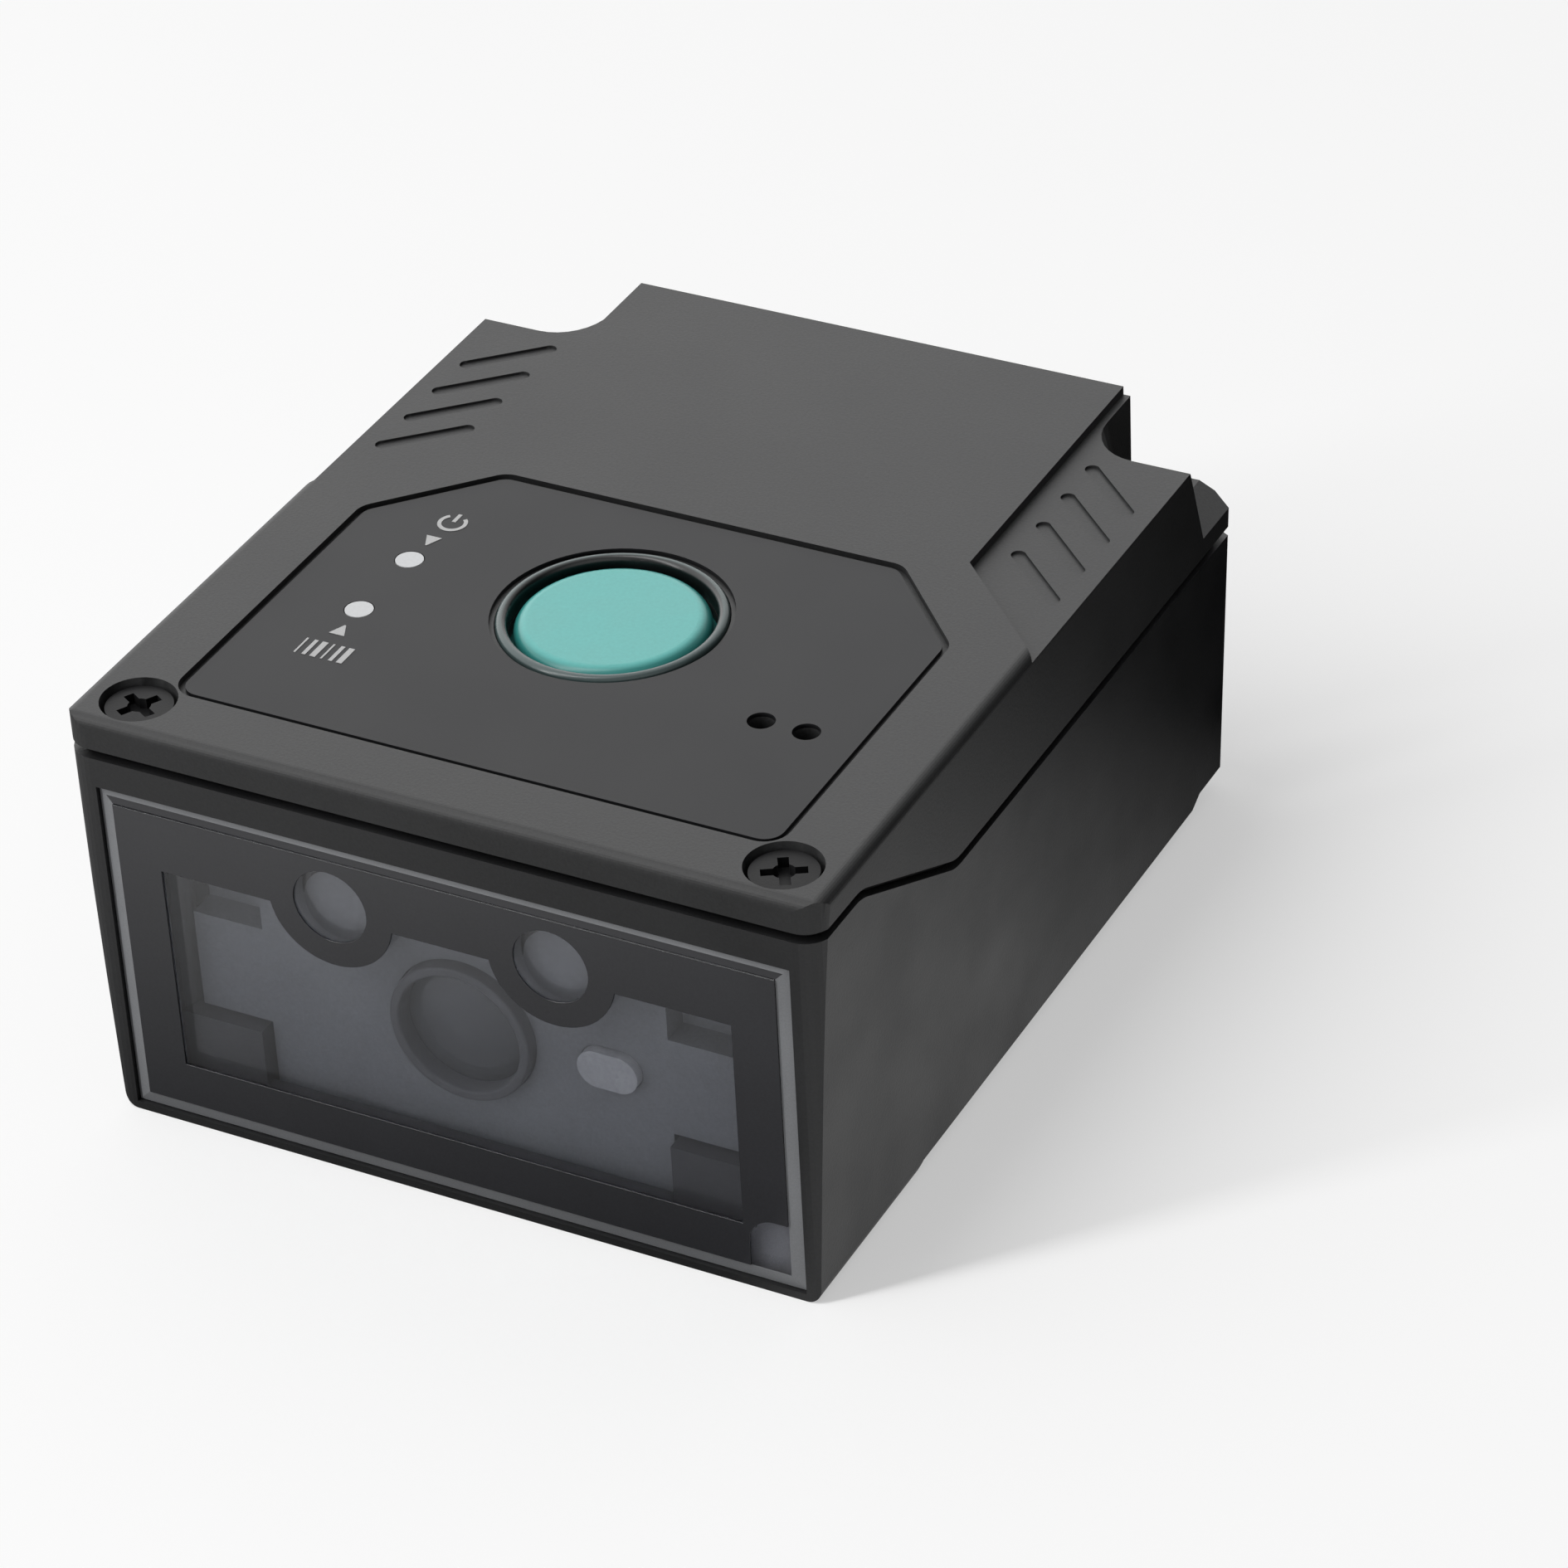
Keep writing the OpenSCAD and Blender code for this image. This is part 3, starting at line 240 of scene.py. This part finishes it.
def surface(tree, place, colour, swing, rough, rough_swing, grain, depth, patch):
    """Noise-driven colour, roughness and normal that the finishes share."""
    fine = noise(tree, place, grain, GRAIN_DETAIL, GRAIN_ROUGHNESS)
    broad = patches(tree, place, patch)
    spread = ramp(tree, maths(tree, "ADD", fine, broad), BOTH_SPAN)
    tint = mix(tree, spread, shade(colour, 1 - swing), shade(colour, 1 + swing), "RGBA")
    return tint, uneven(tree, broad, rough, rough_swing), relief(tree, fine, depth)


def shaded(made, tint, gloss, normal, extra):
    """Ends a material with one Principled shader; extra holds its constant numbers."""
    tree = made.node_tree
    sockets = {"Base Color": tint, "Roughness": gloss, "Normal": normal}
    sockets.update(extra)
    body = node(tree, "BsdfPrincipled", sockets)
    node(tree, "OutputMaterial", {"Surface": body.outputs["BSDF"]})
    return made


def solid(name, colour, rough, grain=0.2, depth=0.004, swing=0.12, rough_swing=ROUGH_SWING, patch=PATCH_MM,
          **extra):
    """Finish with fine grain, soft patches and uneven gloss."""
    made = material(name)
    tree = made.node_tree
    place = own_place(tree)
    tint, gloss, normal = surface(tree, place, colour, swing, rough, rough_swing, grain, depth, patch)
    return shaded(made, tint, gloss, normal, extra)


def striped(name, colour, stripe, pitch, axis, rough, **extra):
    """Finish with even stripes across one axis, such as copper lines in a flat cable or a knurl."""
    made = material(name)
    tree = made.node_tree
    place = own_place(tree)
    rate = 2 * math.pi / (WAVE_TURN * pitch * MM)
    wave = node(tree, "TexWave", {"Vector": place, "Scale": rate}, bands_direction=axis)
    edge = ramp(tree, wave.outputs["Fac"], STRIPE_EDGE)
    tint = mix(tree, edge, shade(colour), shade(stripe), "RGBA")
    gloss = uneven(tree, patches(tree, place, STRIPE_PATCH_MM), rough, ROUGH_SWING)
    return shaded(made, tint, gloss, relief(tree, edge, STRIPE_RELIEF_MM), extra)


def plastic(name, colour, rough, specular, **extra):
    """Moulded or painted finish with its own strength of reflection."""
    extra["Specular IOR Level"] = specular
    return solid(name, colour, rough, **extra)


def clear(name, colour, rough, ior, share=1.0):
    """See-through finish with faint smears in its polish; share is the part of the light let through."""
    return solid(name, colour, rough, grain=0.5, depth=0.0005, swing=0.04, rough_swing=0.02, patch=8.0,
                 **{"IOR": ior, "Transmission Weight": share})


def metal(name, colour, rough):
    """Plated or turned metal."""
    return solid(name, colour, rough, grain=0.1, depth=0.004, Metallic=1.0)


def ring_share(tree, place):
    """1 on the outside and crown of the ring around the button, 0 on its inner wall, which is painted dark
    as shade.
    """
    low, high = (Vector(corner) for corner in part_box("button_bezel"))
    away = node(tree, "VectorMath", {0: place, 1: (low + high) / 2}, operation="SUBTRACT").outputs["Vector"]
    flat = node(tree, "VectorMath", {0: away, 1: (1, 1, 0)}, operation="MULTIPLY").outputs["Vector"]
    radius = node(tree, "VectorMath", {0: flat}, operation="LENGTH").outputs["Value"]
    outer = (high.x - low.x) / 2
    return ramp(tree, radius, (outer - RING_PAINTED_SHADE, outer - RING_BRIGHT))


def face_share(tree, place):
    """1 on the button's face, falling to 0 down its rounded rim, where darker colour is painted as shade."""
    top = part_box("trigger_button")[1][2]
    height = node(tree, "SeparateXYZ", {"Vector": place}).outputs["Z"]
    return ramp(tree, height, (top - RIM_SHADE_DEEPEST, top - RIM_SHADE_START))


def outside_painted_light(tree, place):
    """0 on the walls of the space behind the window, where paler colour is painted as light, 1 on the rest
    of the housing.
    """
    offset = node(tree, "VectorMath", {0: place, 1: CAVITY_MIDDLE}, operation="SUBTRACT").outputs["Vector"]
    away = node(tree, "VectorMath", {0: offset}, operation="ABSOLUTE").outputs["Vector"]
    axes = node(tree, "SeparateXYZ", {"Vector": away})
    share = 0.0
    for axis, half in zip("XYZ", CAVITY_HALF):
        share = maths(tree, "MAXIMUM", share, maths(tree, "GREATER_THAN", axes.outputs[axis], half))
    return share


def painted_light_finish(name, share_of, colour, other, rough, specular, grain=0.2, depth=0.001, swing=0.06):
    """Moulded finish whose colour changes over the piece to paint in light and shade; share_of gives the
    part of the first colour.
    """
    made = material(name)
    tree = made.node_tree
    place = own_place(tree)
    tint, gloss, normal = surface(tree, place, colour, swing, rough, ROUGH_SWING, grain, depth, PATCH_MM)
    mixed = mix(tree, share_of(tree, place), shade(other), tint, "RGBA")
    return shaded(made, mixed, gloss, normal, {"Specular IOR Level": specular})


def finishes():
    """One material for each finish of the part."""
    return {
        "cover_plastic": plastic("cover_plastic", (0.0185, 0.0187, 0.0192), rough=0.5, specular=0.3,
                                 grain=0.16, depth=0.012, swing=0.25, rough_swing=0.02),
        # Housing: paler colour painted as light on the walls behind the window
        "housing_plastic": painted_light_finish("housing_plastic", outside_painted_light, (0.0165, 0.0167, 0.0175),
                                    (0.085, 0.0865, 0.092), rough=0.42, specular=0.3,
                                    grain=0.16, depth=0.01, swing=0.22),
        "label_film": plastic("label_film", (0.012, 0.0122, 0.0134), rough=0.45, specular=0.17,
                              grain=0.1, depth=0.002, swing=0.1, rough_swing=0.02),
        # Ring around the button: its inner wall painted dark as shade
        "bezel_plastic": painted_light_finish("bezel_plastic", ring_share, (0.05, 0.075, 0.075),
                                  (0.006, 0.007, 0.007), rough=0.3, specular=0.4),
        # Button: darker teal painted down its rounded rim as shade
        "button_plastic": painted_light_finish("button_plastic", face_share, (0.1, 0.44, 0.41),
                                   (0.035, 0.25, 0.23), rough=0.35, specular=0.4),
        "light_pipe": plastic("light_pipe", (0.58, 0.59, 0.6), rough=0.3, specular=0.5,
                              depth=0.002, swing=0.06),
        "black_steel": plastic("black_steel", (0.009, 0.009, 0.0095), rough=0.4, specular=0.1,
                               grain=0.12, depth=0.006),
        "smoked_pane": clear("smoked_pane", (0.72, 0.73, 0.77), rough=0.04, ior=1.49),
        "mask_black": plastic("mask_black", (0.022, 0.0225, 0.0265), rough=0.12, specular=0.5,
                              grain=0.1, depth=0.001),
        "gasket_foam": plastic("gasket_foam", (0.3, 0.3, 0.315), rough=0.85, specular=0.2,
                               grain=0.12, depth=0.02),
        "engine_plastic": plastic("engine_plastic", (0.24, 0.25, 0.262), rough=0.5, specular=0.4,
                                  depth=0.006),
        "barrel_black": plastic("barrel_black", (0.12, 0.125, 0.132), rough=0.4, specular=0.4,
                                grain=0.15, depth=0.006),
        "lens_glass": clear("lens_glass", (0.19, 0.205, 0.22), rough=0.1, ior=1.52, share=0.55),
        "lamp_plastic": plastic("lamp_plastic", (0.25, 0.26, 0.27), rough=0.25, specular=0.5,
                                grain=0.3, depth=0.006, swing=0.08),
        # Aimer lens: paler than the lamp lenses, a painted highlight
        "aimer_painted_highlight": plastic("aimer_painted_highlight", (0.5, 0.51, 0.52), rough=0.25, specular=0.5,
                                 grain=0.3, depth=0.006),
        "led_white": plastic("led_white", (0.72, 0.7, 0.52), rough=0.4, specular=0.4, depth=0.003),
        "board": striped("board", (0.01, 0.09, 0.045), (0.02, 0.16, 0.085),
                         pitch=0.6, axis="X", rough=0.35),
        "steel": metal("steel", (0.5, 0.5, 0.52), rough=0.32),
        "flex_film": striped("flex_film", (0.4, 0.16, 0.03), (0.62, 0.34, 0.1),
                             pitch=0.5, axis="X", rough=0.3),
        "socket_plastic": plastic("socket_plastic", (0.6, 0.56, 0.46), rough=0.5, specular=0.4),
        "chip_black": plastic("chip_black", (0.02, 0.02, 0.022), rough=0.55, specular=0.4,
                              grain=0.1, depth=0.006),
        "jack_plastic": plastic("jack_plastic", (0.018, 0.018, 0.019), rough=0.45, specular=0.4,
                                depth=0.005),
        "gold": metal("gold", (0.72, 0.46, 0.13), rough=0.25),
        "insert_brass": striped("insert_brass", (0.58, 0.38, 0.12), (0.36, 0.22, 0.06),
                                pitch=0.35, axis="Z", rough=0.35, Metallic=1.0),
        # Light grey on the pane's bevel: a painted highlight along its edges
        "painted_edge_highlight": plastic("painted_edge_highlight", (0.24, 0.246, 0.258), rough=0.45, specular=0.5,
                               grain=0.08, depth=0.003),
        "print_white": plastic("print_white", (0.5, 0.5, 0.5), rough=0.5, specular=0.3,
                               grain=0.12, depth=0.002, swing=0.1),
    }


def dress(frame, looks):
    """Gives every CAD node its finish and rounded edges, and the pane a hair of room in its gasket."""
    slots = {part["node"]: part["material_slot"] for part in frame["record"]["subparts"]}
    for name, piece in frame["nodes"].items():
        piece.data.materials.clear()
        piece.data.materials.append(looks[OWN_LOOK.get(name, slots[name])])
        weld = piece.modifiers.new("weld", "WELD")
        weld.merge_threshold = WELD
        low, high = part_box(name)
        bevel = piece.modifiers.new("edges", "BEVEL")
        bevel.limit_method = "ANGLE"
        bevel.angle_limit = math.radians(EDGE_ANGLE)
        bevel.width = min(EDGE, EDGE_SHARE * min(b - a for a, b in zip(low, high)))
        bevel.segments = EDGE_SEGMENTS
        bevel.harden_normals = True
    shrink = frame["nodes"]["window_pane"].modifiers.new("clear_of_gasket", "DISPLACE")
    shrink.mid_level = 0.0
    shrink.strength = -PANE_CLEAR


def placed(name, data):
    """New object in the scene."""
    made = bpy.data.objects.new(name, data)
    bpy.context.collection.objects.link(made)
    return made


def mesh_of(name, points, faces, look):
    """New mesh object from points in metres and faces."""
    mesh = bpy.data.meshes.new(name)
    mesh.from_pydata(points, [], faces)
    mesh.materials.append(look)
    return placed(name, mesh)


def piece_of(name, points, faces, look):
    """New piece that rides on the case."""
    made = mesh_of(name, points, faces, look)
    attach(made, "case")


def edge_bar(corners, side, start, end):
    """Points of a thin bar on one side of the pane's bevel, between two shares of its width."""
    low, high = corners
    points = []
    for lift in (-HIGHLIGHT_LIFT, HIGHLIGHT_LIFT):
        for share in (start, end):
            inset = PANE_BEVEL * (1 - share)
            left = low.x + inset
            right = high.x - inset
            base = low.z + inset
            top = high.z - inset
            loop = [(left, base), (right, base), (right, top), (left, top)]
            y = low.y + share * PANE_BEVEL_DEPTH + lift
            points += [(x, y, z) for x, z in (loop[side], loop[(side + 1) % len(loop)])]
    return points


def painted_edge_highlight(looks):
    """Light grey bars on the bevel around the pane's face, painted as the highlight along its edges, and the
    mask's print on the inner part of it at the top.
    """
    corners = [Vector(corner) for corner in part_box("window_pane")]
    points = []
    faces = []
    for side, start in enumerate(HIGHLIGHT_FROM):
        faces += [tuple(len(points) + i for i in face) for face in BAR_FACES]
        points += edge_bar(corners, side, start, 1.0)
    piece_of("pane_painted_highlight", points, faces, looks["painted_edge_highlight"])
    printed = edge_bar(corners, TOP_SIDE, PRINTED_FROM, HIGHLIGHT_FROM[TOP_SIDE])
    piece_of("mask_top_print", printed, BAR_FACES, looks["mask_black"])


def bar(x, y, half_w, half_h):
    """Ribbon that fills a rectangle."""
    return [((end, y - half_h), (end, y + half_h)) for end in (x - half_w, x + half_w)]


def pointer(centre, side):
    """Ribbon that fills a small triangle; side 1 points along +Y and -1 along -Y."""
    x, y = centre
    reach = side * POINTER / 2
    ends = ((POINTER / 2, y - reach), (POINTER_TIP, y + reach))
    return [((x - half, end), (x + half, end)) for half, end in ends]


def power_symbol(centre):
    """Ribbons of an open ring and an upright stroke."""
    x, y = centre
    ring = []
    for i in range(ARC_STEPS + 1):
        t = math.radians(90 + POWER_GAP + (360 - 2 * POWER_GAP) * i / ARC_STEPS)
        radii = (POWER_R - STROKE / 2, POWER_R + STROKE / 2)
        ring.append(tuple((x + r * math.cos(t), y + r * math.sin(t)) for r in radii))
    return [ring, bar(x, y + POWER_STROKE_UP, STROKE / 2, POWER_STROKE_HALF)]


def scan_symbol(centre):
    """Ribbons of a row of upright bars, of three widths in turn."""
    x, y = centre
    wide, tall = SCAN_HALF
    pitch = 2 * wide / (SCAN_BARS - 1)
    return [bar(x - wide + i * pitch, y, SCAN_THIN * (1 + i % SCAN_WIDTHS), tall) for i in range(SCAN_BARS)]


def print_marks(looks):
    """White pointers and symbols printed on the label beside the status lights."""
    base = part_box("function_label")[1][2] / MM
    ribbons = [pointer(UPPER_POINTER, -1), pointer(LOWER_POINTER, 1)]
    ribbons += power_symbol(POWER_AT) + scan_symbol(SCAN_AT)
    points = []
    faces = []
    for ribbon in ribbons:
        first = len(points)
        for left, right in ribbon:
            for z in (base, base + PRINT_T):
                points += [(x * MM, y * MM, z * MM) for x, y in (left, right)]
        step = (len(points) - first) // len(ribbon)
        last = len(points) - step
        for a in range(first, last, step):
            b = a + step
            faces += [(a + 2, a + 3, b + 3, b + 2), (a, b, b + 1, a + 1)]
            faces += [(a, a + 2, b + 2, b), (a + 1, b + 1, b + 3, a + 3)]
        faces += [(first, first + 1, first + 3, first + 2), (last, last + 2, last + 3, last + 1)]
    piece_of("label_print", points, faces, looks["print_white"])


def camera():
    """Camera at the photograph's place, with its framing."""
    az, el, roll = (math.radians(a) for a in (CAM_AZIMUTH, CAM_ELEVATION, CAM_ROLL))
    back = Vector((math.sin(az) * math.cos(el), -math.cos(az) * math.cos(el), math.sin(el)))
    level = Vector((math.cos(az), math.sin(az), 0))
    upright = back.cross(level)
    right = math.cos(roll) * level + math.sin(roll) * upright
    up = math.cos(roll) * upright - math.sin(roll) * level
    lens = bpy.data.cameras.new("camera")
    lens.sensor_width = SENSOR_MM
    lens.lens = CAM_FOCAL_PX * SENSOR_MM / PHOTO_PX
    lens.shift_x = (PHOTO_PX / 2 - CAM_CENTRE_PX[0]) / PHOTO_PX
    lens.shift_y = (CAM_CENTRE_PX[1] - PHOTO_PX / 2) / PHOTO_PX
    lens.clip_start = CAM_CLIP
    made = placed("camera", lens)
    turn = Matrix((right, up, back)).transposed().to_4x4()
    made.matrix_world = Matrix.Translation(back * CAM_DISTANCE + right * CAM_RIGHT + up * CAM_UP) @ turn
    bpy.context.scene.camera = made


def floor():
    """Pale paper that keeps the shadow; reflections and bounced light see painted light and shade in it,
    darker beside the part.
    """
    made = material("floor_paper")
    tree = made.node_tree
    path = node(tree, "LightPath")
    camera_ray = path.outputs["Is Camera Ray"]
    place = own_place(tree)
    axes = node(tree, "SeparateXYZ", {"Vector": place})
    beside = ramp(tree, axes.outputs["X"], RIGHT_X)
    right = ramp(tree, axes.outputs["Y"], RIGHT_Y, RIGHT_LEVEL)
    near = ramp(tree, axes.outputs["Y"], FRONT_Y, FRONT_LEVEL)
    front = maths(tree, "MULTIPLY", near, ramp(tree, axes.outputs["X"], FRONT_X, FRONT_SHARE))
    rear = ramp(tree, axes.outputs["Y"], REAR_Y, REAR_LEVEL)
    # Painted light and shade in the floor, for reflections and bounced light
    around = mix(tree, beside, maths(tree, "MAXIMUM", front, rear), right)
    level = mix(tree, camera_ray, around, 1.0)
    tone = ramp(tree, patches(tree, place, PULP_MM), PATCH_SPAN, (PULP_SHADE * FLOOR_COLOUR, FLOOR_COLOUR))
    paper = node(tree, "BsdfDiffuse", {"Color": maths(tree, "MULTIPLY", tone, level)})
    seen = maths(tree, "MAXIMUM", camera_ray, path.outputs["Is Glossy Ray"])
    seen = maths(tree, "MAXIMUM", seen, path.outputs["Is Transmission Ray"])
    strength = maths(tree, "MULTIPLY", maths(tree, "MULTIPLY", seen, level), FLOOR_GLOW)
    glow = node(tree, "Emission", {"Color": WHITE, "Strength": strength})
    both = node(tree, "AddShader", {0: paper.outputs["BSDF"], 1: glow.outputs["Emission"]})
    node(tree, "OutputMaterial", {"Surface": both.outputs["Shader"]})

    signs = ((-1, -1), (1, -1), (1, 1), (-1, 1))
    corners = [(sx * FLOOR_HALF, sy * FLOOR_HALF, -FLOOR_DROP) for sx, sy in signs]
    plane = mesh_of("floor", corners, [(0, 1, 2, 3)], made)


def key_lamp():
    """Tall strip that casts the shadow."""
    lamp = bpy.data.lights.new("key", "AREA")
    lamp.shape = "RECTANGLE"
    lamp.size, lamp.size_y = KEY_SIZE
    lamp.energy = KEY_LEVEL * math.pi * KEY_DISTANCE ** 2
    aim = Vector(KEY_FROM).normalized()
    key = placed("key", lamp)
    key.location = aim * KEY_DISTANCE
    key.rotation_mode = "QUATERNION"
    key.rotation_quaternion = (-aim).to_track_quat("-Z", "Y")


def facing(tree, direction, aim):
    """Cosine of the angle between a direction and an aim."""
    centre = Vector(aim).normalized()
    return node(tree, "VectorMath", {0: direction, 1: centre}, operation="DOT_PRODUCT").outputs["Value"]


def sky():
    """White to the camera and through glass, two soft boxes in reflections, and soft light elsewhere."""
    world = bpy.data.worlds.new("studio")
    bpy.context.scene.world = world
    world.use_nodes = True
    tree = world.node_tree
    tree.nodes.clear()
    path = node(tree, "LightPath")
    direction = node(tree, "TexCoord").outputs["Generated"]
    softbox = facing(tree, direction, SOFTBOX_TOWARDS)
    fill = facing(tree, direction, FILL_TOWARDS)
    boxes = maths(tree, "MAXIMUM", ramp(tree, softbox, SOFTBOX_REACH, SOFTBOX_LEVEL),
                  ramp(tree, fill, FILL_REACH, FILL_LEVEL))
    ambient = ramp(tree, softbox, SKY_REACH, SKY_LIGHT)
    lit = mix(tree, path.outputs["Is Glossy Ray"], ambient, boxes)
    white = maths(tree, "MAXIMUM", path.outputs["Is Camera Ray"], path.outputs["Is Transmission Ray"])
    level = mix(tree, white, lit, 1.0)
    background = node(tree, "Background", {"Color": WHITE, "Strength": level})
    node(tree, "OutputWorld", {"Surface": background.outputs["Background"]})


def main():
    """Loads the frame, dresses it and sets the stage."""
    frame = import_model()
    looks = finishes()
    dress(frame, looks)
    painted_edge_highlight(looks)
    print_marks(looks)
    camera()
    floor()
    key_lamp()
    sky()
    bpy.context.scene.view_settings.view_transform = "Standard"


main()
